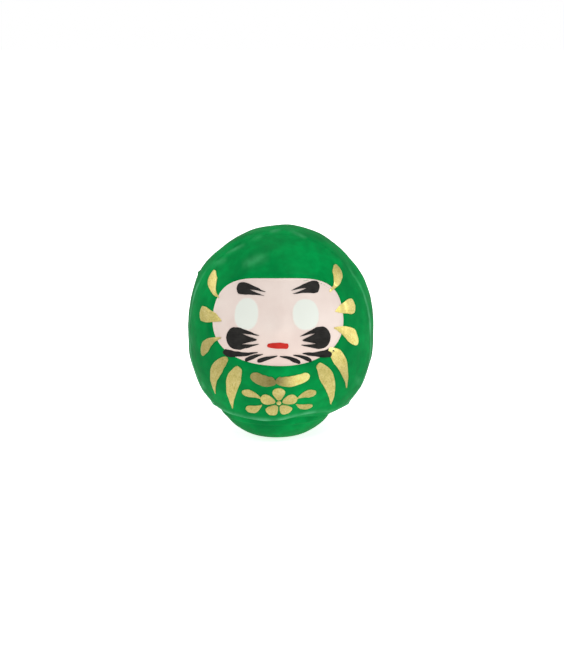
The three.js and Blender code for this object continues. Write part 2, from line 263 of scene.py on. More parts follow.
def ripples(points, length, height, seed):
    """Sum of sine waves of about one wavelength, each with its own direction and start."""
    random = np.random.default_rng(seed)
    ways = unit(random.normal(size=(WAVES, 3))) * random.uniform(0.75, 1.3, (WAVES, 1)) * 2 * np.pi / length
    starts = random.uniform(0, 2 * np.pi, WAVES)
    waves = np.zeros(points.shape[:-1])
    for way, start in zip(ways, starts):
        waves += np.sin(points @ way + start)
    return height * waves / np.sqrt(WAVES / 2)


PAPER_WAVES = [(46, 0.42, 3), (17, 0.13, 5), (6.5, 0.035, 8)]  # wavelength and height in mm, and seed
FACE_CALM = 0.75  # share of the unevenness that the mould presses out of the face
# Middle as azimuth and latitude, then half widths aside and away and the height, all in millimetres
SWELLS = [
    ((-100, 50), 17, 13, -1.3),
    ((-62, 62), 8, 6, 0.5),
    ((92, 28), 9, 9, 0.5),
    ((30, 66), 12, 8, -0.5),
    ((86, -12), 8, 9, 0.4),
]
# From and to as azimuth and latitude, then the ridge's half width and height in millimetres
CREASES = [
    ((-46, 62), (-30, 70), 1.6, 0.35),
    ((-62, 50), (-44, 60), 1.3, 0.3),
    ((-70, 40), (-52, 47), 2.0, 0.3),
    ((-24, 74), (4, 78), 1.4, 0.22),
    ((20, 80), (44, 66), 1.5, 0.25),
    ((-34, 46), (-8, 52), 3.0, 0.3),
    ((56, -18), (76, -30), 1.8, 0.35),
    ((-60, -24), (-80, -34), 1.8, 0.3),
    ((-66, -4), (-84, 6), 1.6, 0.25),
    ((100, 30), (128, 44), 2.0, 0.35),
    ((150, 60), (196, 66), 1.6, 0.3),
    ((212, 20), (240, 34), 2.2, 0.35),
    ((140, -12), (172, -20), 1.8, 0.3),
    ((196, -28), (228, -24), 1.6, 0.3),
]


def crease(points, start, end, half_width, height):
    """A ridge along a chord of the body: the height times e to minus the squared distance from the line,
    in half widths, fading in and out along it as a sine."""
    ends = mould(np.array([start[0], end[0]]), np.array([start[1], end[1]]))[0]
    along = ends[1] - ends[0]
    share = np.clip((points - ends[0]) @ along / (along @ along), 0, 1)
    sag = 4 * share * (1 - share)
    middle = mould((start[0] + end[0]) / 2, (start[1] + end[1]) / 2)[0]
    nearest = ends[0] + share[..., None] * along + sag[..., None] * (middle - ends.mean(0))
    distance = np.linalg.norm(points - nearest, axis=-1) / half_width
    return height * np.exp(-distance * distance) * np.sin(np.pi * share) ** 0.7


def swelling(points, centre, across, up, height):
    """A broad hill or hollow: the height times e to minus the squared distance, counted in one half width
    along the level tangent and in another at right angles to it."""
    turn = np.radians(centre[0])
    apart = points - mould(*np.array(centre, float))[0]
    aside = apart @ np.array([np.cos(turn), np.sin(turn), 0])
    rest = np.sqrt(np.maximum((apart**2).sum(-1) - aside**2, 0))
    return height * np.exp(-((aside / across) ** 2) - (rest / up) ** 2)


def unevenness(points, face_share):
    """Waves, swells and creases added up, quieter on the face, which the mould presses hard."""
    height = sum(ripples(points, *wave) for wave in PAPER_WAVES)
    height = height + sum(swelling(points, *swell) for swell in SWELLS)
    height = height + sum(crease(points, *line) for line in CREASES)
    return height * (1 - FACE_CALM * face_share)


HEM_WAVE = 0.35  # mm, a low wave that goes three times round
HEM_SIDES, HEM_TILT = 1.0, 0.35  # mm up at both sides, and more at the right, less at the left
HEM_SWING = 1.4  # mm, the larger swing in front
SWING_START, SWING_MIDDLE, SWING_WIDTH = 9, 10, 42  # degrees: where it is level, its middle, its half width
HEM_REACH = 9  # mm that the wave reaches up the body


def hem_wave(azimuth, latitude, height):
    """The hem isn't cut level: it rises and falls three times round as a low sine, stands higher at the
    sides, and swings more in front. The wave dies out above it, and under the doll, where the paper is
    glued flat to the weight."""
    low = WAIST + HEM_CENTRE[1] - HEM_ROUND
    tucked = smooth_step((-HEM_ANGLE - HEM_SPAN / 2 - latitude) / (HEM_SPAN / 2))
    turn = (azimuth + 180) % 360 - 180
    swing = np.sin(4 * np.radians(turn - SWING_START)) * np.exp(-(((turn - SWING_MIDDLE) / SWING_WIDTH) ** 2))
    side = np.sin(np.radians(turn))
    wave = HEM_WAVE * np.sin(3 * np.radians(turn)) + side * (HEM_SIDES * side + HEM_TILT) + HEM_SWING * swing
    return wave * np.exp(-(((height - low) / HEM_REACH) ** 2)) * (1 - tucked)


def from_hem(latitude):
    """Millimetres along the profile from where the hem starts to turn in, negative past it."""
    past = latitude + HEM_ANGLE
    return np.where(past > 0, past * DROP * PER_DEGREE, past * HEM_ROUND * PER_DEGREE)


BEAD_HEIGHT, BEAD_WIDTH = 0.45, 1.4  # mm, and the half width
BEAD_UNDER = 0.2  # mm from where the hem starts to turn in to the bead's middle
WEAR_AND_HIGHLIGHT = 0.7  # how pale the bead is made on average: worn paint and painted highlight
WEAR_AND_HIGHLIGHT_PATCHES = (12, 0.25, 21)  # wavelength in mm, how much the worn paint and painted highlight vary, and seed
RIDGE_WEAR_AND_HIGHLIGHT = 0.45  # worn paint and painted highlight on a crease, as a share of that on the bead


def bead(latitude):
    """The hem is folded over, so its edge stands up in a soft bead: e to minus the squared distance."""
    return np.exp(-(((from_hem(latitude) + BEAD_UNDER) / BEAD_WIDTH) ** 2))


def wear_and_painted_highlight(azimuth, latitude):
    """How pale the green is made, from 0 to 1, along the hem's bead and the tops of the creases: partly
    worn paint, partly a painted highlight on these ridges.
    """
    points = mould(azimuth, latitude)[0]
    ridges = sum(crease(points, *line[:3], 1.0) for line in CREASES)
    patchy = WEAR_AND_HIGHLIGHT + ripples(points, *WEAR_AND_HIGHLIGHT_PATCHES)
    return np.clip((bead(latitude) + RIDGE_WEAR_AND_HIGHLIGHT * ridges) * patchy, 0, 1)


def skin(azimuth, latitude, lift=0.0):
    """The paper's outer surface, raised by lift along the normal: the smooth body, plus the heights of the
    face, the unevenness and the bead along its normal, plus the hem's wave straight up."""
    azimuth, latitude = np.broadcast_arrays(azimuth, latitude)
    points, normals = mould(azimuth, latitude)
    uneven = unevenness(points, on_face(outside_face(azimuth, latitude)))
    height = face_relief(azimuth, latitude) + uneven + BEAD_HEIGHT * bead(latitude) + lift
    points = points + normals * height[..., None]
    points[..., 2] += hem_wave(azimuth, latitude, points[..., 2])
    return points


print("swells:", len(SWELLS), "creases:", len(CREASES))

# %% [markdown]
# ## From grids to meshes
#
# Every new piece is one or two grids of points. A sheet of paper or a coat of paint has a top grid and a
# bottom grid, closed round the border. A turned piece is one grid whose last column meets its first.
# Rows that shrink to a point leave doubled vertices, so doubles are merged, and then the faces are turned
# outward together. Edges sharper than 40 degrees are kept sharp under smooth shading.

# %% Mesh helpers
SAME_SPOT = 0.001 * MM  # vertices nearer than this are one
SHARP = np.radians(40)


def quads(index):
    """The four corners of each cell of a grid of vertex numbers."""
    return np.stack([index[:-1, :-1], index[:-1, 1:], index[1:, 1:], index[1:, :-1]], -1).reshape(-1, 4)


def piece(name, vertices, faces, uv, material, slot, *nodes, wear_and_painted_light=None):
    """A finished object that rides on the doll and stands for some CAD nodes. Vertices are in millimetres,
    and a value at each, from 0 to 1, says how pale the green is, as worn paint and painted highlight, or
    how bright or dark the gold is painted, as painted highlight and shade."""
    mesh = bpy.data.meshes.new(name)
    mesh.from_pydata((vertices * MM).tolist(), [], faces.tolist())
    corners = np.empty(len(mesh.loops), int)
    mesh.loops.foreach_get("vertex_index", corners)
    layer = mesh.uv_layers.new(name="surface")
    layer.data.foreach_set("uv", uv[corners].astype(np.float32).ravel())
    if wear_and_painted_light is not None:
        values = wear_and_painted_light.astype(np.float32).ravel()
        mesh.attributes.new("wear_and_painted_light", "FLOAT", "POINT").data.foreach_set("value", values)
    merged = bmesh.new()
    merged.from_mesh(mesh)
    bmesh.ops.remove_doubles(merged, verts=merged.verts, dist=SAME_SPOT)
    bmesh.ops.recalc_face_normals(merged, faces=merged.faces)
    merged.to_mesh(mesh)
    merged.free()
    mesh.shade_smooth()
    mesh.set_sharp_from_angle(angle=SHARP)
    mesh.materials.append(material)
    made = bpy.data.objects.new(name, mesh)
    scene.collection.objects.link(made)
    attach(made, "root")
    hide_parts(*nodes)
    print(f"{name}: {sum(len(face.vertices) - 2 for face in mesh.polygons)} triangles")
    return made


def closed(top, bottom, uv):
    """Vertices, faces and map of a sheet between two grids, closed by a strip of faces round the border."""
    index = np.arange(top.size // 3).reshape(top.shape[:2])
    ring = np.concatenate([index[0, :-1], index[:-1, -1], index[-1, :0:-1], index[:0:-1, 0]])
    after = np.roll(ring, -1)
    rim = np.stack([ring, ring + index.size, after + index.size, after], -1)
    faces = np.concatenate([quads(index), quads(index)[:, ::-1] + index.size, rim])
    vertices = np.concatenate([top.reshape(-1, 3), bottom.reshape(-1, 3)])
    return vertices, faces, np.tile(uv.reshape(-1, 2), (2, 1))


def slab(name, top, bottom, uv, material, slot, *nodes, wear_and_painted_light=None):
    """A piece made of one closed sheet. Its underside has the same worn-paint and painted-light values as its
    top.
    """
    wear_and_painted_light = wear_and_painted_light if wear_and_painted_light is None else np.tile(wear_and_painted_light.ravel(), 2)
    return piece(name, *closed(top, bottom, uv), material, slot, *nodes, wear_and_painted_light=wear_and_painted_light)


def turned(name, rings, uv, material, slot, *nodes, wear_and_painted_light=None):
    """A turned piece: each row is a ring, and the last column is joined to the first."""
    index = np.arange(rings.size // 3).reshape(rings.shape[:2])
    faces = quads(np.concatenate([index, index[:, :1]], 1))
    return piece(name, rings.reshape(-1, 3), faces, uv.reshape(-1, 2), material, slot, *nodes, wear_and_painted_light=wear_and_painted_light)


def pairs(first, second):
    """Two arrays as one array of pairs, such as u and v."""
    return np.stack(np.broadcast_arrays(first, second), -1)


# %% [markdown]
# ## Material helpers
#
# Paint colours are written as sRGB hex values, as a colour chart gives them, and turned linear by the
# standard curve, because shaders add and multiply light. One helper adds a node, sets it and links it.

# %% Node helpers
def linear(code):
    """The sRGB curve undone: a twelfth of small values, and for the rest a power of 2.4."""
    srgb = np.array([int(code[i : i + 2], 16) / 255 for i in (1, 3, 5)])
    colour = np.where(srgb <= 0.04045, srgb / 12.92, ((srgb + 0.055) / 1.055) ** 2.4)
    return (*colour, 1.0)


def add_node(tree, kind, inputs=(), **settings):
    """Adds a node of a kind. Inputs give sockets by name or number a value or a link."""
    node = tree.nodes.new(kind)
    for name, value in settings.items():
        setattr(node, name, value)
    for key, value in dict(inputs).items():
        if isinstance(value, bpy.types.NodeSocket):
            tree.links.new(value, node.inputs[key])
        else:
            node.inputs[key].default_value = value
    return node


def start_material(name):
    """An empty material, its node tree and its object coordinates, which are metres."""
    material = bpy.data.materials.new(name)
    material.use_nodes = True
    tree = material.node_tree
    tree.nodes.clear()
    return material, tree, add_node(tree, "ShaderNodeTexCoord").outputs["Object"]


def set_ramp(node, *stops):
    """Colour stops of a ramp, each a position and a hex colour."""
    ramp = node.color_ramp
    while len(ramp.elements) < len(stops):
        ramp.elements.new(1.0)
    for element, (position, code) in zip(ramp.elements, stops):
        element.position = position
        element.color = linear(code)
    return node.outputs["Color"]


print("green at half strength:", [round(value, 3) for value in linear("#008040")])

# %% [markdown]
# ## Satin green paint
#
# Daruma paint is pigment in glue or acrylic, brushed over a white ground: a strong green with a soft
# sheen. Two coats never cover evenly, so the tone drifts over patches of 30 mm and again over 5 mm, and a
# thin place shows a little lighter. The coat's clouds and the paper's fibres show as a faint grain. The
# sheen is low: its highlights are soft and wide. On the hem, the creases and the strip's edges the green is
# made paler: partly rubbed paint where the pale ground shows through, and partly a painted highlight on
# those ridges. Each vertex holds how much.

# %% Green paint
PATCH = 30  # mm, drift of tone
CLOUD = 5  # mm, unevenness of one coat
GRAIN = 0.9  # mm, coarser than real fibres so that it shows
green_paint, tree, place = start_material("satin_green_paint")
patch = add_node(tree, "ShaderNodeTexNoise", {"Vector": place, "Scale": 1000 / PATCH, "Detail": 2})
cloud = add_node(tree, "ShaderNodeTexNoise", {"Vector": place, "Scale": 1000 / CLOUD, "Detail": 4})
drift = add_node(
    tree, "ShaderNodeMix", {0: 0.38, 2: patch.outputs["Fac"], 3: cloud.outputs["Fac"]}, data_type="FLOAT"
).outputs[0]
green = set_ramp(
    add_node(tree, "ShaderNodeValToRGB", {"Fac": drift}),
    (0.34, "#006630"),
    (0.5, "#007536"),
    (0.66, "#008840"),
)
# Pale green on the ridges: worn paint and a painted highlight, by the per-vertex value.
wear_and_highlight = add_node(tree, "ShaderNodeAttribute", attribute_name="wear_and_painted_light").outputs["Fac"]
wear_and_highlight_share = add_node(
    tree, "ShaderNodeMath", {0: wear_and_highlight, 1: cloud.outputs["Fac"]}, operation="MULTIPLY"
).outputs[0]
green = add_node(
    tree, "ShaderNodeMix", {0: wear_and_highlight_share, 6: green, 7: linear("#63b386")}, data_type="RGBA"
).outputs[2]
grain = add_node(tree, "ShaderNodeTexNoise", {"Vector": place, "Scale": 1000 / GRAIN, "Detail": 3})
ridged = add_node(tree, "ShaderNodeMath", {0: cloud.outputs["Fac"], 1: 1.6}, operation="MULTIPLY")
height = add_node(tree, "ShaderNodeMath", {0: grain.outputs["Fac"], 1: ridged.outputs[0]}, operation="ADD")
relief = add_node(
    tree, "ShaderNodeBump", {"Height": height.outputs[0], "Strength": 0.25, "Distance": 0.15 * MM}
)
sheen = add_node(
    tree, "ShaderNodeMapRange", {"Value": cloud.outputs["Fac"], "To Min": 0.36, "To Max": 0.52}
)
shader = add_node(
    tree,
    "ShaderNodeBsdfPrincipled",
    {
        "Base Color": green,
        "Roughness": sheen.outputs["Result"],
        "Specular IOR Level": 0.02,
        "Normal": relief.outputs["Normal"],
    },
)
add_node(tree, "ShaderNodeOutputMaterial", {"Surface": shader.outputs["BSDF"]})
print("satin green paint:", len(tree.nodes), "nodes")

# %% [markdown]
# ## Face paint
#
# The face is a warm white ground of chalk or shell powder in glue, nearly matt, with faint clouds where
# the brush was wetter and a little more pink low on the cheeks and chin. A noise gives the clouds, and the
# height over the floor gives the pink, so both stay where they are on the doll.

# %% Face paint
FACE_CLOUD = 14  # mm
PINK_FROM, PINK_TO = 0.068, 0.046  # m over the floor, from low on the eyes down to the chin
face_paint, tree, place = start_material("chalky_face_paint")
cloud = add_node(tree, "ShaderNodeTexNoise", {"Vector": place, "Scale": 1000 / FACE_CLOUD, "Detail": 4})
pale = set_ramp(
    add_node(tree, "ShaderNodeValToRGB", {"Fac": cloud.outputs["Fac"]}), (0.3, "#cbbbb3"), (0.7, "#d3c6be")
)
height = add_node(tree, "ShaderNodeSeparateXYZ", {"Vector": place}).outputs["Z"]
low = add_node(
    tree, "ShaderNodeMapRange", {"Value": height, "From Min": PINK_FROM, "From Max": PINK_TO, "To Max": 0.55}
)
skin_tone = add_node(
    tree, "ShaderNodeMix", {0: low.outputs["Result"], 6: pale, 7: linear("#d6bcb1")}, data_type="RGBA"
).outputs[2]
fibre = add_node(tree, "ShaderNodeTexNoise", {"Vector": place, "Scale": 1000 / GRAIN, "Detail": 4})
relief = add_node(
    tree, "ShaderNodeBump", {"Height": fibre.outputs["Fac"], "Strength": 0.2, "Distance": 0.12 * MM}
)
shader = add_node(
    tree,
    "ShaderNodeBsdfPrincipled",
    {
        "Base Color": skin_tone,
        "Roughness": 0.68,
        "Specular IOR Level": 0.08,
        "Normal": relief.outputs["Normal"],
    },
)
add_node(tree, "ShaderNodeOutputMaterial", {"Surface": shader.outputs["BSDF"]})
print("chalky face paint:", len(tree.nodes), "nodes")

# %% [markdown]
# ## Eye paint
#
# The eyes are blank: a cooler white, sprayed on, and soft at the edge. Their own map holds the share of the
# way from the middle to the outline, so the white can fade into the face's colour over about the last tenth.
# A fine noise makes that edge a little ragged, as the drops of a spray do.

# %% Eye paint
SPRAY = 1.2  # mm, clumps of drops, coarser than real ones so that they show
eye_paint, tree, place = start_material("sprayed_white_paint")
spray = add_node(tree, "ShaderNodeTexNoise", {"Vector": place, "Scale": 1000 / SPRAY, "Detail": 3})
own_map = add_node(tree, "ShaderNodeUVMap", uv_map="surface")
share = add_node(tree, "ShaderNodeSeparateXYZ", {"Vector": own_map.outputs["UV"]}).outputs["X"]
ragged = add_node(
    tree, "ShaderNodeMath", {0: spray.outputs["Fac"], 1: 0.1, 2: share}, operation="MULTIPLY_ADD"
).outputs[0]
fade = add_node(tree, "ShaderNodeMapRange", {"Value": ragged, "From Min": 0.9, "From Max": 1.04})
fade.interpolation_type = "SMOOTHSTEP"
white = add_node(
    tree,
    "ShaderNodeMix",
    {0: fade.outputs["Result"], 6: linear("#ccd0c8"), 7: linear("#d0c1b9")},
    data_type="RGBA",
).outputs[2]
relief = add_node(
    tree, "ShaderNodeBump", {"Height": spray.outputs["Fac"], "Strength": 0.15, "Distance": 0.1 * MM}
)
shader = add_node(
    tree,
    "ShaderNodeBsdfPrincipled",
    {"Base Color": white, "Roughness": 0.62, "Specular IOR Level": 0.08, "Normal": relief.outputs["Normal"]},
)
add_node(tree, "ShaderNodeOutputMaterial", {"Surface": shader.outputs["BSDF"]})
print("sprayed white paint:", len(tree.nodes), "nodes")

# %% [markdown]
# ## Black and red paint
#
# The black is ink-like paint that dries a little grey where it is thin, and the lips are a plain red with
# darker streaks. Each mark is one stroke, so both paints come from one function: a noise stretched along
# the mark's own map draws the streaks, and a round noise the blots.

# %% Black and red paint
BLOT = 3.5  # mm


def brushed_paint(name, dark, light, roughness, fineness):
    """A paint laid in one stroke: streaks run along the mark's own map, thin places are lighter."""
    material, tree, place = start_material(name)
    own_map = add_node(tree, "ShaderNodeUVMap", uv_map="surface")
    stretched = add_node(
        tree, "ShaderNodeMapping", {"Vector": own_map.outputs["UV"], "Scale": (1.5, fineness, 1)}
    )
    streaks = add_node(
        tree, "ShaderNodeTexNoise", {"Vector": stretched.outputs["Vector"], "Scale": 2, "Detail": 3}
    ).outputs["Fac"]
    blots = add_node(
        tree, "ShaderNodeTexNoise", {"Vector": place, "Scale": 1000 / BLOT, "Detail": 4}
    ).outputs["Fac"]
    thin = add_node(tree, "ShaderNodeMix", {0: 0.55, 2: streaks, 3: blots}, data_type="FLOAT").outputs[0]
    colour = set_ramp(add_node(tree, "ShaderNodeValToRGB", {"Fac": thin}), (0.35, dark), (0.7, light))
    relief = add_node(tree, "ShaderNodeBump", {"Height": thin, "Strength": 0.3, "Distance": 0.12 * MM})
    shader = add_node(
        tree,
        "ShaderNodeBsdfPrincipled",
        {
            "Base Color": colour,
            "Roughness": roughness,
            "Specular IOR Level": 0.08,
            "Normal": relief.outputs["Normal"],
        },
    )
    add_node(tree, "ShaderNodeOutputMaterial", {"Surface": shader.outputs["BSDF"]})
    print(name.replace("_", " ") + ":", len(tree.nodes), "nodes")
    return material


black_paint = brushed_paint("black_brush_paint", "#191817", "#2e2d2b", 0.55, 20 / 3)
red_paint = brushed_paint("red_brush_paint", "#a9241d", "#c0302a", 0.55, 8)

# %% [markdown]
# ## Gold paint
#
# The gold is brass powder in a clear binder, laid with a loaded brush. It isn't a mirror: flakes lie at
# all angles, so it is a rough metal over a yellow-green ground, brighter where it faces a light and a dull
# olive where it faces away. The brush leaves streaks along the stroke, and the ground shows through specks
# where the powder ran thin. On top of that each vertex holds a painted highlight and shade, which makes the
# colour brighter or darker along each stroke, in place of how that stroke catches the light.

# %% Gold
FLAKE = 0.8  # mm, clumps of flakes, coarser than real ones so that they show
GOLD_BLOT = 4  # mm
PAINTED_SHADE_FACTOR, PAINTED_HIGHLIGHT_FACTOR = 0.4, 1.45  # painted shade and painted highlight: what a value of 0 and of 1 multiply the colour by
gold_paint, tree, place = start_material("brass_powder_paint")
own_map = add_node(tree, "ShaderNodeUVMap", uv_map="surface")
stretched = add_node(tree, "ShaderNodeMapping", {"Vector": own_map.outputs["UV"], "Scale": (2, 9, 1)})
streaks = add_node(
    tree, "ShaderNodeTexNoise", {"Vector": stretched.outputs["Vector"], "Scale": 1.5, "Detail": 4}
)
blots = add_node(
    tree, "ShaderNodeTexNoise", {"Vector": place, "Scale": 1000 / GOLD_BLOT, "Detail": 5, "Roughness": 0.65}
)
flakes = add_node(tree, "ShaderNodeTexNoise", {"Vector": place, "Scale": 1000 / FLAKE, "Detail": 3})
mixed = add_node(
    tree, "ShaderNodeMix", {0: 0.5, 2: streaks.outputs["Fac"], 3: blots.outputs["Fac"]}, data_type="FLOAT"
).outputs[0]
load = add_node(
    tree, "ShaderNodeMix", {0: 0.3, 2: mixed, 3: flakes.outputs["Fac"]}, data_type="FLOAT"
).outputs[0]
brass = set_ramp(
    add_node(tree, "ShaderNodeValToRGB", {"Fac": load}),
    (0.3, "#a8983c"),
    (0.44, "#d8c873"),
    (0.56, "#eedd8d"),
    (0.7, "#fff2b8"),
)
# Painted highlight and shade per vertex scale the gold's colour up or down.
wear_and_painted_light = add_node(tree, "ShaderNodeAttribute", attribute_name="wear_and_painted_light").outputs["Fac"]
painted_light_factor = add_node(
    tree, "ShaderNodeMapRange", {"Value": wear_and_painted_light, "To Min": PAINTED_SHADE_FACTOR, "To Max": PAINTED_HIGHLIGHT_FACTOR}
).outputs["Result"]
brass = add_node(
    tree, "ShaderNodeVectorMath", {0: brass, "Scale": painted_light_factor}, operation="SCALE"
).outputs["Vector"]
relief = add_node(tree, "ShaderNodeBump", {"Height": load, "Strength": 0.7, "Distance": 0.4 * MM})
dull = add_node(
    tree,
    "ShaderNodeMapRange",
    {"Value": load, "From Min": 0.3, "From Max": 0.7, "To Min": 0.5, "To Max": 0.36},
)
shader = add_node(
    tree,
    "ShaderNodeBsdfPrincipled",
    {
        "Base Color": brass,
        "Metallic": 0.7,
        "Roughness": dull.outputs["Result"],
        "Normal": relief.outputs["Normal"],
    },
)
add_node(tree, "ShaderNodeOutputMaterial", {"Surface": shader.outputs["BSDF"]})
print("brass powder paint:", len(tree.nodes), "nodes")

# %% [markdown]
# ## The two halves of the shell
#
# The paper is pasted over a wooden mould and slit along the sides to free it, so the body is a front half
# and a back half. Each is a sheet 2 mm thick: the same surface twice, once on the skin and once 2 mm in.
# Its rows start at the edge of the opening under the doll, run out to the hem, round it and up to the
# crown, where they all meet. The front half carries the face, so it gets the finer grid.

# %% Shell
WALL = 2.0  # mm
UNDERSIDE = 6.0  # mm from the hem's arc in to the opening
CUT = 0.2  # degrees from the side, so the halves stop short of each other


def shell_half(name, first, last, columns, rows):
    """Half of the body between two azimuths: rows from the opening's edge up to the crown."""
    low = -HEM_ANGLE - HEM_SPAN
    latitude = np.concatenate(
        [
            np.linspace(low - UNDERSIDE, low, 5)[:-1],
            np.linspace(low, -HEM_ANGLE, 13)[:-1],
            np.linspace(-HEM_ANGLE, 90, rows),
        ]
    )[:, None]
    azimuth = np.linspace(first, last, columns)[None]
    outer, inner = skin(azimuth, latitude), skin(azimuth, latitude, -WALL)
    uv = pairs((azimuth + 90) / 360, (latitude + 90) / 180)
    # Paler green on the hem's bead and the creases: worn paint and a painted highlight.
    wear_and_painted_light = wear_and_painted_highlight(azimuth, latitude)
    return slab(name, outer, inner, uv, green_paint, "painted_paper", name, wear_and_painted_light=wear_and_painted_light)


shell_half("front_shell", -90 + CUT, 90 - CUT, 241, 161)
shell_half("back_shell", 90 + CUT, 270 - CUT, 181, 121)

# %% [markdown]
# ## The paper strips
#
# A strip of paper is pasted over the join of the halves, from hem to hem over the crown, and painted over.
# Its torn edges wander, and paint fills the step, so it shows as a soft ridge. It is laid out as an arch:
# one angle goes round the doll from side to side, the other leans from the side plane to the front or
# back. A small knot of paper stands on it at the left, and down the sides its edges are made paler:
# partly rubbed paint, partly a painted highlight along the ridge.

# %% Seam strip
STRIP_HALF = 13.5  # mm from the side plane to the strip's edge
STRIP_LIFT, STRIP_EDGE, STRIP_UNDER = 0.32, 0.06, -0.3  # mm: what its middle adds, then edge and underside
KNOT, KNOT_HALF, KNOT_HEIGHT = (-90, 32.5), (1.5, 1.0), 0.75  # azimuth and latitude, degrees, mm
WEAR_AND_HIGHLIGHT_AT, WEAR_AND_HIGHLIGHT_HALF = 0.86, 0.09  # where across the strip it is rubbed and painted with a highlight, and the half width of that
WEAR_AND_HIGHLIGHT_UNDER, WEAR_AND_HIGHLIGHT_FADE = 46, 30  # degrees of latitude: rubbed and highlighted only under this, and the length of the fade
along = np.linspace(-1, 1, 260)[:, None]
across = np.linspace(-1, 1, 41)[None]
torn = 0.5 * np.sin(23 * along) + 0.3 * np.sin(51 * along + 1) + 0.2 * np.sin(97 * along + 2)
lean = np.arcsin((STRIP_HALF + 0.5 * torn) * across / DEPTH_FRONT)
reach = np.arccos(-np.sin(np.radians(HEM_ANGLE)) / np.cos(lean))
arch = along * reach
strip_x, strip_y, strip_z = np.cos(lean) * np.sin(arch), np.sin(lean), np.cos(lean) * np.cos(arch)
strip_azimuth = np.degrees(np.arctan2(strip_x, -strip_y))
strip_latitude = np.degrees(np.arcsin(np.clip(strip_z, -1, 1)))
feather = 1 - np.abs(across) ** 5
knot_x = (strip_azimuth - KNOT[0]) / KNOT_HALF[0]
knot_y = (strip_latitude - KNOT[1]) / KNOT_HALF[1]
knot = KNOT_HEIGHT * np.exp(-(knot_x**2) - knot_y**2)
# Paler bands along the strip's edges: rubbed paint and a painted highlight on the ridge.
edge_wear_and_highlight = np.exp(-(((np.abs(across) - WEAR_AND_HIGHLIGHT_AT) / WEAR_AND_HIGHLIGHT_HALF) ** 2)) * (0.7 + 0.4 * torn)
edge_wear_and_highlight = edge_wear_and_highlight * smooth_step((WEAR_AND_HIGHLIGHT_UNDER - strip_latitude) / WEAR_AND_HIGHLIGHT_FADE)
slab(
    "seam_strip",
    skin(strip_azimuth, strip_latitude, STRIP_EDGE + STRIP_LIFT * feather + knot),
    skin(strip_azimuth, strip_latitude, STRIP_UNDER),
    pairs(along, across),
    green_paint,
    "paper_strip",
    "seam_strip",
    wear_and_painted_light=np.clip(edge_wear_and_highlight + wear_and_painted_highlight(strip_azimuth, strip_latitude), 0, 1),
)

# %% [markdown]
# ## The weight
#
# The foot is a shallow bowl of unfired clay. Its arc rolls from the small flat foot up to the hem, and a
# low spigot stands up inside the shell. It was pressed by hand, so its radius wanders a little. The strip
# round its top is the same profile, lifted by a paper's thickness, and its lower edge is soft.

# %% Weight and its strip
BASE_HEIGHT = 15.5  # from the foot to the hem
BOWL_RADIUS = 24.0
HEM_OVERHANG = 3.2  # from the centre of the hem's arc in to the edge of the weight
BASE_TOP = HEM_CENTRE[0] - HEM_OVERHANG
TOP_RISE = 0.35  # the top stands this much higher than it is drawn, so that it meets the shell
TOP_ZONE = 3  # and this much under it starts to follow the hem
SPIGOT_RADIUS, SPIGOT_HEIGHT = 25.1, 6.0
bowl_angle = np.arccos(1 - BASE_HEIGHT / BOWL_RADIUS)
foot_radius = BASE_TOP - BOWL_RADIUS * np.sin(bowl_angle)
around = np.linspace(0, 2 * np.pi, 192, endpoint=False)[None]


def bowl(angle, lift=0.0):
    """A ring of the bowl: foot radius plus the arc's sine, and a height of one less its cosine."""
    reach = BOWL_RADIUS + lift
    radius, height = foot_radius + reach * np.sin(angle), BOWL_RADIUS - reach * np.cos(angle)
    return pairs(radius, height)


def hand_pressed(rings, outline):
    """Turns an outline round the foot's axis and presses it in and out by a few tenths of a millimetre,
    leaving the foot flat. Its top millimetres rise with the hem, so no gap shows under it."""
    radius, height = outline[:, None, 0], outline[:, None, 1]
    points = np.stack([radius * np.sin(rings), -radius * np.cos(rings), height + 0 * rings], -1)
    free = smooth_step(height / 4) * smooth_step((BASE_HEIGHT + 0.4 - height) / 3)
    wander = (ripples(points, 28, 0.3, 11) + ripples(points, 9, 0.1, 12)) * free
    points[..., :2] *= (1 + wander / np.maximum(radius, 1))[..., None]
    hem = np.maximum(hem_wave(np.degrees(rings), 0.0, WAIST + HEM_CENTRE[1] - HEM_ROUND), 0)
    points[..., 2] += (TOP_RISE + hem) * smooth_step((height - BASE_HEIGHT + TOP_ZONE) / TOP_ZONE)
    return points


bowl_profile = bowl(np.linspace(0, bowl_angle, 40))
weight_profile = np.concatenate(
    [
        pairs(np.linspace(0, foot_radius, 6)[:-1], 0.0),
        bowl_profile,
        pairs(np.linspace(BASE_TOP, SPIGOT_RADIUS, 5)[1:], BASE_HEIGHT),
        pairs(SPIGOT_RADIUS, np.linspace(BASE_HEIGHT, BASE_HEIGHT + SPIGOT_HEIGHT, 5)[1:]),
        pairs(np.linspace(SPIGOT_RADIUS, 0, 8)[1:], BASE_HEIGHT + SPIGOT_HEIGHT),
    ]
)
weight_uv = pairs(around / (2 * np.pi), np.linspace(0, 1, len(weight_profile))[:, None])
turned(
    "base_weight", hand_pressed(around, weight_profile), weight_uv, green_paint, "painted_clay", "base_weight"
)

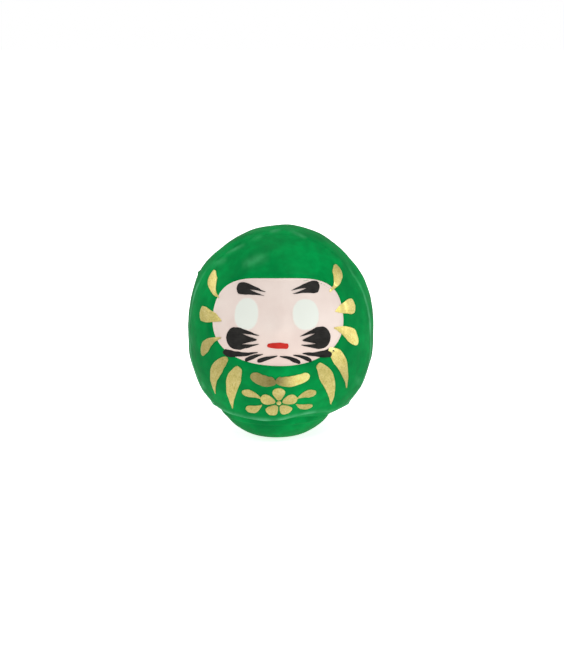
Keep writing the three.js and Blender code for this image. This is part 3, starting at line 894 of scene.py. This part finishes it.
# %% Strip round the weight
STRIP_DEPTH = 4  # mm from the hem down to the strip's lower edge
BAND_EDGE, BAND_LIFT, BAND_UNDER = 0.08, 0.32, -0.2  # mm over the clay: lower edge, added above it, underside
band_low = np.arccos(1 - (BASE_HEIGHT - STRIP_DEPTH) / BOWL_RADIUS)
band_share = np.linspace(0, 1, 12)
band_angle = band_low + (bowl_angle - band_low) * band_share
band_profile = np.concatenate(
    [
        bowl(band_angle, BAND_EDGE + BAND_LIFT * smooth_step(5 * band_share)),
        bowl(band_angle[-1:], 0.2) + [[0, 0.22]],  # its rounded top edge
        bowl(band_angle[::-1], BAND_UNDER),
        bowl(band_angle[:1], BAND_EDGE),
    ]
)
band_uv = pairs(around / (2 * np.pi), np.linspace(0, 1, len(band_profile))[:, None])
turned("base_strip", hand_pressed(around, band_profile), band_uv, green_paint, "paper_strip", "base_strip")

# %% [markdown]
# ## Coats of paint
#
# Each painted area is a film a tenth or two of a millimetre thick that hugs the paper, because it takes
# its points from the same skin function with a small lift. The face is a disc: an angle goes round, and a
# share goes from the middle to the outline. The eyes are smaller discs on it.

# %% Face and eyes
FACE_LIFT, EYE_LIFT = 0.1, 0.18  # mm over the paper
EMBED = -0.15  # undersides reach into the paper, so no light gets under a film


def squared(value, exponent):
    """A cosine or sine raised to 2 over the exponent, which squares off an ellipse's shoulders."""
    return np.sign(value) * np.abs(value) ** (2 / exponent)


def film(name, centre, across, up, down, exponents, lift, rings, spokes, material, slot):
    """A disc of paint. Its map holds the share of the way from the middle to the outline."""
    angle = np.linspace(0, 2 * np.pi, spokes, endpoint=False)[None]
    share = np.linspace(0, 1, rings)[:, None]
    tall = np.where(np.sin(angle) > 0, up, down)
    exponent = np.where(np.sin(angle) > 0, *exponents)
    azimuth = centre[0] + share * across * squared(np.cos(angle), exponent)
    latitude = centre[1] + share * tall * squared(np.sin(angle), exponent)
    top = skin(azimuth, latitude, lift)
    bottom = skin(azimuth, latitude, EMBED)
    grid = np.concatenate([top, bottom[::-1]])
    uv = pairs(share, angle / (2 * np.pi))
    return turned(name, grid, np.concatenate([uv, uv[::-1]]), material, slot, name)


film(
    "face_paint",
    FACE_CENTRE,
    FACE_SIDE,
    FACE_UP,
    FACE_DOWN,
    (SQUARE_ABOVE, SQUARE_BELOW),
    FACE_LIFT,
    70,
    240,
    face_paint,
    "face_paint",
)
film("eye_left", (-20.3, 18.5), 8.6, 8.9, 8.9, (2.3, 2.3), EYE_LIFT, 20, 72, eye_paint, "eye_paint")
film("eye_right", (17.7, 18.6), 9.2, 8.7, 8.7, (2.3, 2.3), EYE_LIFT, 20, 72, eye_paint, "eye_paint")

# %% [markdown]
# ## Brush marks
#
# A brush mark is a ribbon along the path of the brush: a smooth curve through three points, given as
# azimuth and latitude, the same three as in the CAD. Its width follows how a loaded brush is pressed and
# lifted. It starts blunt, swells to its full width at the belly, and falls off to the tip. Each kind of
# stroke has its own shares for these. The brows and moustaches are forked: the lanes of the ribbon end at
# different lengths, which leaves prongs with slits between them. Edges wander by a tenth of a millimetre,
# and the paint stands a little thicker in the middle.

# %% Brush marks
TIP = 0.12  # mm, half width of a mark at its pointed end
MARK_LIFT, MARK_CROWN = 0.26, 0.16  # mm over the paper: a mark's edge, and how much thicker its middle is
EDGE_WANDER = (5, 0.07)  # wavelength and height of a mark's uneven edge


def through(points, share):
    """The parabola that passes three points at 0, a half and 1, and its slope."""
    first, middle, last = np.array(points, float)
    bend = 2 * (first - 2 * middle + last)
    slope = last - first - bend
    share = share[..., None]
    return first + slope * share + bend * share**2, slope + 2 * bend * share


def pressed(share, belly, blunt, tip, fall):
    """The width as a share of the full one: a quarter sine from blunt to 1 at the belly, then 1 less a
    power of the way left, down to the share at the tip."""
    rise = blunt + (1 - blunt) * np.sin(np.pi / 2 * np.minimum(share / belly, 1))
    past = np.clip((share - belly) / (1 - belly), 0, 1)
    return rise * (tip + (1 - tip) * (1 - past**fall))


def rounded(distance, radius):
    """The share of the width left near an end: the root of one less the squared share of the radius."""
    return np.sqrt(np.clip(1 - (1 - np.minimum(distance / radius, 1)) ** 2, 0, 1))


def ribbon(points, width, belly, blunt, tip, fall, start, end=0.15, prongs=1, notch=0.0, short=0.0, seed=0):
    """Azimuths and latitudes of a mark, and its map: along from 0 to 1 and across from -1 to 1. Each point
    is the parabola's, moved aside by half the pressed width times its place across."""
    along = (1 - np.cos(np.linspace(0, np.pi, 72)))[:, None] / 2
    across = np.linspace(-1, 1, 20 * (prongs - 1) + 1 if prongs > 1 else 13)[None]
    fork = (prongs - 1) * (across + 1) / 2 % 1
    slit = notch * (1 - np.abs(1 - 2 * fork)) ** 1.9
    share = along * (1 - slit) * (1 - short * (1 - np.abs(across)))
    spot, way = through(points, share)
    per_azimuth, per_latitude = scale_at(spot[..., 1])
    way = np.stack([way[..., 0] * per_azimuth, way[..., 1] * per_latitude], -1)
    length = np.linalg.norm(way, axis=-1).mean()
    way = unit(way)
    places = np.stack([spot[..., 0], spot[..., 1], 9 * across + 0 * share], -1)
    wander = ripples(places, *EDGE_WANDER, seed)
    half = np.maximum(width / 2 * pressed(share, belly, blunt, tip, fall) + wander, TIP)
    half = half * rounded(share * length, start)
    if prongs == 1:
        half = half * rounded((1 - share) * length, end)
    azimuth = spot[..., 0] - way[..., 1] * across * half / per_azimuth
    latitude = spot[..., 1] + way[..., 0] * across * half / per_latitude
    return azimuth, latitude, pairs(along, across)


def coat(azimuth, latitude, uv):
    """Top and underside of a mark's paint, which is thickest along its middle: the thickness falls off as
    the fourth power across."""
    crown = MARK_LIFT + MARK_CROWN * (1 - uv[..., 1] ** 4)
    return skin(azimuth, latitude, crown), skin(azimuth, latitude, EMBED)


def paint_mark(name, material, slot, painted_light_ends=(0.5, 0.5), **form):
    """A mark on the skin. Its painted highlight and shade go from the first value to the last along the
    stroke, as a smooth step."""
    azimuth, latitude, uv = ribbon(**form)
    wear_and_painted_light = painted_light_ends[0] + (painted_light_ends[1] - painted_light_ends[0]) * smooth_step(uv[..., 0])
    return slab(name, *coat(azimuth, latitude, uv), uv, material, slot, name, wear_and_painted_light=wear_and_painted_light)


# %% [markdown]
# The black marks: two brows, two moustaches with three prongs, and six hairs of the beard. Then the lips.

# %% Brows, moustaches, beard and lips
brow = dict(belly=0.35, blunt=0.85, tip=0.33, fall=1.3, start=2.2, prongs=2, notch=0.43)
whisker = dict(belly=0.45, blunt=0.94, tip=0.4, fall=1, start=4.8, prongs=3, notch=0.5, short=0.07)
wedge = dict(belly=0.25, blunt=0.65, tip=0.1, fall=1.5, start=1)
hair = dict(belly=0.3, blunt=0.7, tip=0.1, fall=1.4, start=0.8)
mouth = dict(belly=0.6, blunt=0.5, tip=0.8, fall=2, start=0.8, end=0.9)
# Kind of stroke, name, three points as azimuth and latitude, and full width in millimetres
BLACK_MARKS = [
    (brow, "eyebrow_left", [(-30.5, 31.6), (-22, 31.8), (-9, 29.6)], 6.5),
    (brow, "eyebrow_right", [(30, 32.4), (22, 32.7), (9.5, 30.6)], 6.5),
    (whisker, "moustache_left", [(-33, 5), (-22, 5.2), (-11.2, 5.2)], 11.3),
    (whisker, "moustache_right", [(33.2, 6), (23, 5.6), (13.6, 4.9)], 11.3),
    (wedge, "beard_left_1", [(-34.6, -2.4), (-25, -3.2), (-12.2, -1.4)], 3.2),
    (hair, "beard_left_2", [(-20.2, -6.2), (-14.8, -3.8), (-8.8, -2.2)], 2.1),
    (hair, "beard_left_3", [(-12.5, -6.2), (-6.2, -4.2), (-0.2, -2.8)], 2.1),
    (wedge, "beard_right_1", [(35, -1.6), (28, -3), (14.8, -1.8)], 4.2),
    (hair, "beard_right_2", [(20.4, -6.2), (15.4, -3.8), (9.2, -2.5)], 2.1),
    (hair, "beard_right_3", [(13.5, -6.8), (7.5, -4.3), (1.2, -3)], 2.1),
]
LIP_LINE = [(-6.4, 2.5), (0, 2.5), (6.4, 2.3)]
for seed, (kind, name, points, width) in enumerate(BLACK_MARKS, 1):
    paint_mark(name, black_paint, "black_paint", points=points, width=width, seed=seed, **kind)
paint_mark("lips", red_paint, "red_paint", points=LIP_LINE, width=3.1, seed=11, **mouth)

# %% [markdown]
# The gold marks: five rays on each side, from the temple down the robe, and two on the chest. Those beside
# the face reach just over its edge. Each has a painted highlight and shade, how bright it is painted at the
# start and the end, standing in for how the stroke catches the light.

# %% Rays
crescent = dict(belly=0.4, blunt=0.3, tip=0.06, fall=1.2, start=0.8)
stub = dict(belly=0.3, blunt=0.85, tip=0.06, fall=1.5, start=2)
ray = dict(belly=0.4, blunt=0.35, tip=0.05, fall=1.3, start=1)
band = dict(belly=0.5, blunt=0.85, tip=0.65, fall=1.6, start=2.2, end=1.2)
# Kind of stroke, name, three points, full width, and the painted highlight and shade at the start and the end
GOLD_MARKS = [
    (crescent, "gold_left_1", [(-58.5, 39), (-54, 31.8), (-43.4, 25)], 6.6, (0.5, 0.5)),
    (stub, "gold_left_2", [(-57.5, 14.8), (-48, 14.6), (-38, 13.2)], 7.8, (0.42, 0.5)),
    (ray, "gold_left_3", [(-52.5, -7), (-47.5, -0.4), (-37.2, 4.4)], 6, (0.3, 0.3)),
    (ray, "gold_left_4", [(-31.5, -5.6), (-43, -15.5), (-49, -28.8)], 6.6, (0.35, 0.5)),
    (ray, "gold_left_5", [(-23.5, -10), (-30.6, -20.5), (-37.6, -37.2)], 7.6, (0.45, 0.65)),
    (crescent, "gold_right_1", [(51.4, 43.6), (47.6, 36.6), (37.4, 29.4)], 6.6, (0.3, 0.75)),
    (stub, "gold_right_2", [(56.8, 19.4), (48, 19.6), (38.8, 18.6)], 7.8, (0.6, 0.8)),
    (ray, "gold_right_3", [(54.6, -1), (47.4, 5.8), (36.4, 10)], 7.4, (0.95, 0.6)),
    (ray, "gold_right_4", [(31.6, -1), (41.2, -9), (50.6, -24.6)], 7, (0.9, 0.4)),
    (ray, "gold_right_5", [(24.2, -7.8), (34, -19.4), (42.6, -36)], 7.4, (0.5, 0.7)),
    (band, "chest_left", [(-16.4, -13), (-8.8, -16.4), (-1.6, -15.8)], 6.2, (0.15, 0)),
    (band, "chest_right", [(19.4, -13.4), (7, -16.4), (-0.8, -14.8)], 5.8, (1.2, 0)),
]
for seed, (kind, name, points, width, painted_light_ends) in enumerate(GOLD_MARKS, 21):
    paint_mark(name, gold_paint, "gold_paint", painted_light_ends, points=points, width=width, seed=seed, **kind)

# %% [markdown]
# ## Blossom and leaves
#
# A plain blossom fills the belly: five round petals laid with one press of the brush each, a dot for the
# heart, and two leaves on each side. Slivers of green stay between the petals.

# %% Blossom
BLOSSOM_CENTRE = (0.5, -30)
PETAL_FROM, PETAL_TO = 1.9, 9.4  # mm from the middle to a petal's base and to its end
HEART_HALF = 1.2  # mm
petal = dict(width=6.4, belly=0.7, blunt=0.25, tip=0.9, fall=2, start=0.5, end=2.6)
dot = dict(width=2 * HEART_HALF, belly=0.5, blunt=1, tip=1, fall=1, start=HEART_HALF, end=HEART_HALF)
leaf = dict(width=4.8, belly=0.4, blunt=0.6, tip=0.08, fall=1.3, start=1.2)


def around_middle(steps, turn):
    """Three points laid outward from the blossom's middle, in a direction turned from the crown's."""
    per_azimuth, per_latitude = scale_at(BLOSSOM_CENTRE[1])
    out = np.array(steps)
    azimuth = BLOSSOM_CENTRE[0] + out * np.sin(turn) / per_azimuth
    return np.stack([azimuth, BLOSSOM_CENTRE[1] + out * np.cos(turn) / per_latitude], -1)


def coats(ribbons):
    """Several ribbons as one piece's vertices, faces and map, each a closed slab."""
    parts, first = [], 0
    for azimuth, latitude, uv in ribbons:
        vertices, faces, flat = closed(*coat(azimuth, latitude, uv), uv)
        parts.append((vertices, faces + first, flat))
        first += len(vertices)
    return [np.concatenate(column) for column in zip(*parts)]


reach = [PETAL_FROM, (PETAL_FROM + PETAL_TO) / 2, PETAL_TO]
petals = [ribbon(around_middle(reach, 2 * np.pi * i / 5), seed=50 + i, **petal) for i in range(5)]
heart = ribbon(around_middle([-HEART_HALF, 0, HEART_HALF], np.pi / 2), seed=56, **dot)
vertices, faces, uv = coats(petals + [heart])
# The petals use the same painted-light value: darker at the base, brighter toward the tip.
piece("blossom", vertices, faces, uv, gold_paint, "gold_paint", "blossom", wear_and_painted_light=0.45 + 0.2 * uv[:, 0])

# %% Leaves
LEAF_CURVES = [
    [(25, -25.5), (18.5, -25), (12, -27.5)],  # degrees to the side of the blossom, and latitude
    [(25.5, -35.5), (18.5, -34.8), (12, -31.5)],
]
for side, direction in (("left", -1), ("right", 1)):
    for number, curve in enumerate(LEAF_CURVES, 1):
        points = [(BLOSSOM_CENTRE[0] + direction * aside, latitude) for aside, latitude in curve]
        seed = 40 + number + 2 * direction
        paint_mark(f"leaf_{side}_{number}", gold_paint, "gold_paint", seed=seed, points=points, **leaf)

# %% [markdown]
# ## Light and air
#
# The doll is shown as in a catalogue: on white, in a wide soft light from four round softboxes. The key
# stands in front, above and to the right, and gives the form and the soft highlights. One hangs overhead
# and a little behind, for the crown, and a weaker one on each side keeps the edges from going dark. A dim
# grey world fills the shade, so the colours stay strong, and the camera itself sees white.

# %% Air
world = bpy.data.worlds.new("studio")
world.use_nodes = True
scene.world = world
tree = world.node_tree
tree.nodes.clear()
FILL = 0.5
path = add_node(tree, "ShaderNodeLightPath")
seen = add_node(
    tree, "ShaderNodeMix", {0: path.outputs["Is Camera Ray"], 2: FILL, 3: 1.0}, data_type="FLOAT"
)
air = add_node(tree, "ShaderNodeBackground", {"Color": (1, 1, 1, 1), "Strength": seen.outputs[0]})
add_node(tree, "ShaderNodeOutputWorld", {"Surface": air.outputs["Background"]})
print("fill light:", FILL)


# %% Softboxes
def softbox(name, place, size, power):
    """A round area light that faces the middle of the doll, with its size in metres and power in watts."""
    light = bpy.data.lights.new(name, "AREA")
    light.shape, light.size, light.energy = "DISK", size, power
    lamp = bpy.data.objects.new(name, light)
    lamp.location = place
    lamp.rotation_mode = "QUATERNION"
    lamp.rotation_quaternion = (aim - lamp.location).to_track_quat("-Z", "Y")
    scene.collection.objects.link(lamp)


softbox("key", (0.5, -0.85, 1.35), 0.7, 10.5)
softbox("overhead", (-0.25, 0.25, 1.5), 0.9, 6.5)
softbox("right_side", (1.3, -0.25, 0.45), 0.8, 3.2)
softbox("left_side", (-1.2, 0.05, 0.75), 0.8, 2.8)

# %% [markdown]
# ## Floor
#
# The floor is a sheet of white paper that glows a little, so that it stays white under the doll and throws
# light up under the belly. It is kept out of glossy reflections, which would veil the green.

# %% Floor
FLOOR_HALF = 4.0  # m
TOOTH = 2  # mm, the paper's grain, coarser than real
floor_material, tree, place = start_material("white_paper_sweep")
paper = add_node(tree, "ShaderNodeTexNoise", {"Vector": place, "Scale": 1000 / TOOTH, "Detail": 2})
tooth = add_node(
    tree, "ShaderNodeBump", {"Height": paper.outputs["Fac"], "Strength": 0.05, "Distance": 0.1 * MM}
)
shader = add_node(
    tree,
    "ShaderNodeBsdfPrincipled",
    {
        "Base Color": linear("#f4f4f4"),
        "Roughness": 0.9,
        "Specular IOR Level": 0.0,
        "Emission Color": (1, 1, 1, 1),
        "Emission Strength": 0.78,
        "Normal": tooth.outputs["Normal"],
    },
)
add_node(tree, "ShaderNodeOutputMaterial", {"Surface": shader.outputs["BSDF"]})
sweep = bpy.data.meshes.new("floor")
corners = [(FLOOR_HALF * x, FLOOR_HALF * y, 0) for x, y in ((-1, -1), (1, -1), (1, 1), (-1, 1))]
sweep.from_pydata(corners, [], [(0, 1, 2, 3)])
sweep.materials.append(floor_material)
floor = bpy.data.objects.new("floor", sweep)
floor.visible_glossy = False
scene.collection.objects.link(floor)
print("floor:", 2 * FLOOR_HALF, "m wide")
